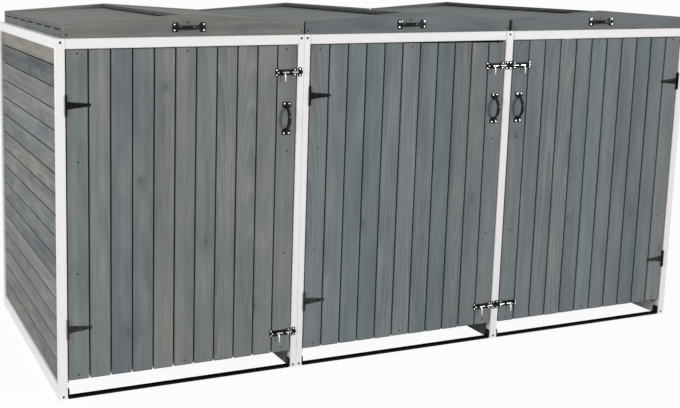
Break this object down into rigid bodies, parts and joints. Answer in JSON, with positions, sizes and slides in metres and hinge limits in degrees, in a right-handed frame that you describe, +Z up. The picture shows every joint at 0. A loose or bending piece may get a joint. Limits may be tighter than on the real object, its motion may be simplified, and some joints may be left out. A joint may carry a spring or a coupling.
{
  "type": "wheelie bin store",
  "caption": "Timber store for wheeled bins: bays with boarded doors on T-hinges and barrel bolts, gabled lids hinged at the back, white frame around grey boards.",
  "frame": {"origin": "centre of the bounding box, on the ground", "axes": "+X to the right seen from the front, +Y from the doors to the rear wall, +Z up"},
  "size_m": [2.47, 0.9942, 1.2094],
  "materials": {
    "white_timber": "opaque white paint on planed timber",
    "stained_board": "thin grey stain on planed softwood, grain showing",
    "stained_batten": "thin grey stain on sawn softwood",
    "black_steel": "satin black powder coat",
    "black_gloss": "gloss black enamel",
    "bright_zinc": "bright zinc plate",
    "dark_screw": "dark plated steel"
  },
  "bodies": {
    "frame": {"front_post_left": "white_timber", "front_post_pair_left": "white_timber", "front_post_pair_right": "white_timber", "front_post_partition": "white_timber", "front_post_right": "white_timber", "rear_posts": "white_timber", "front_rail_1": "white_timber", "front_rail_2": "white_timber", "front_rail_3": "white_timber", "rear_rails": "white_timber", "left_wall_rails": "white_timber", "pair_wall_rails": "stained_board", "partition_wall_rails": "stained_board", "right_wall_rails": "white_timber", "left_wall_boards": "stained_board", "pair_wall_boards": "stained_board", "partition_wall_boards": "stained_board", "right_wall_boards": "stained_board", "rear_wall_boards": "stained_board", "wall_battens": "stained_batten", "thresholds": "black_steel", "door_hinge_leaves": "black_steel", "hinge_pins": "black_steel", "bolt_keepers": "black_steel", "lid_hinge_bases": "black_steel", "frame_screws": "dark_screw"},
    "door_1": {"door_1_boards": "stained_board", "door_1_ledges": "stained_batten", "door_1_hinge_straps": "black_steel", "door_1_bolt_bases": "black_steel", "door_1_handle": "black_gloss"},
    "door_2": {"door_2_boards": "stained_board", "door_2_ledges": "stained_batten", "door_2_hinge_straps": "black_steel", "door_2_bolt_bases": "black_steel", "door_2_handle": "black_gloss"},
    "door_3": {"door_3_boards": "stained_board", "door_3_ledges": "stained_batten", "door_3_hinge_straps": "black_steel", "door_3_bolt_bases": "black_steel", "door_3_handle": "black_gloss"},
    "upper_bolt_1": {"door_1_upper_bolt": "bright_zinc"},
    "lower_bolt_1": {"door_1_lower_bolt": "bright_zinc"},
    "upper_bolt_2": {"door_2_upper_bolt": "bright_zinc"},
    "lower_bolt_2": {"door_2_lower_bolt": "bright_zinc"},
    "upper_bolt_3": {"door_3_upper_bolt": "bright_zinc"},
    "lower_bolt_3": {"door_3_lower_bolt": "bright_zinc"},
    "lid_1": {"lid_1_frame": "stained_board", "lid_1_deck": "stained_board", "lid_1_handle": "black_gloss", "lid_1_hinge_leaves": "black_steel"},
    "lid_2": {"lid_2_frame": "stained_board", "lid_2_deck": "stained_board", "lid_2_handle": "black_gloss", "lid_2_hinge_leaves": "black_steel"},
    "lid_3": {"lid_3_frame": "stained_board", "lid_3_deck": "stained_board", "lid_3_handle": "black_gloss", "lid_3_hinge_leaves": "black_steel"}
  },
  "joints": [
    {"name": "door_1_swing", "type": "hinge", "parent": "frame", "child": "door_1", "pos_m": [-1.20475, -0.47315, 0.58], "axis": [0, 0, -1], "range_deg": [0, 110]},
    {"name": "door_2_swing", "type": "hinge", "parent": "frame", "child": "door_2", "pos_m": [-0.38075, -0.47315, 0.58], "axis": [0, 0, -1], "range_deg": [0, 110]},
    {"name": "door_3_swing", "type": "hinge", "parent": "frame", "child": "door_3", "pos_m": [1.20475, -0.47315, 0.58], "axis": [0, 0, 1], "range_deg": [0, 110]},
    {"name": "door_1_upper_bolt_slide", "type": "slide", "parent": "door_1", "child": "upper_bolt_1", "axis": [1, 0, 0], "range_m": [-0.005, 0.0144]},
    {"name": "door_1_lower_bolt_slide", "type": "slide", "parent": "door_1", "child": "lower_bolt_1", "axis": [1, 0, 0], "range_m": [-0.005, 0.0144]},
    {"name": "door_2_upper_bolt_slide", "type": "slide", "parent": "door_2", "child": "upper_bolt_2", "axis": [1, 0, 0], "range_m": [-0.005, 0.0144]},
    {"name": "door_2_lower_bolt_slide", "type": "slide", "parent": "door_2", "child": "lower_bolt_2", "axis": [1, 0, 0], "range_m": [-0.005, 0.0144]},
    {"name": "door_3_upper_bolt_slide", "type": "slide", "parent": "door_3", "child": "upper_bolt_3", "axis": [-1, 0, 0], "range_m": [-0.005, 0.0144]},
    {"name": "door_3_lower_bolt_slide", "type": "slide", "parent": "door_3", "child": "lower_bolt_3", "axis": [-1, 0, 0], "range_m": [-0.005, 0.0144]},
    {"name": "lid_1_lift", "type": "hinge", "parent": "frame", "child": "lid_1", "pos_m": [0, 0.49375, 1.1402], "axis": [-1, 0, 0], "range_deg": [0, 100]},
    {"name": "lid_2_lift", "type": "hinge", "parent": "frame", "child": "lid_2", "pos_m": [0, 0.49375, 1.1402], "axis": [-1, 0, 0], "range_deg": [0, 100]},
    {"name": "lid_3_lift", "type": "hinge", "parent": "frame", "child": "lid_3", "pos_m": [0, 0.49375, 1.1402], "axis": [-1, 0, 0], "range_deg": [0, 100]}
  ]
}
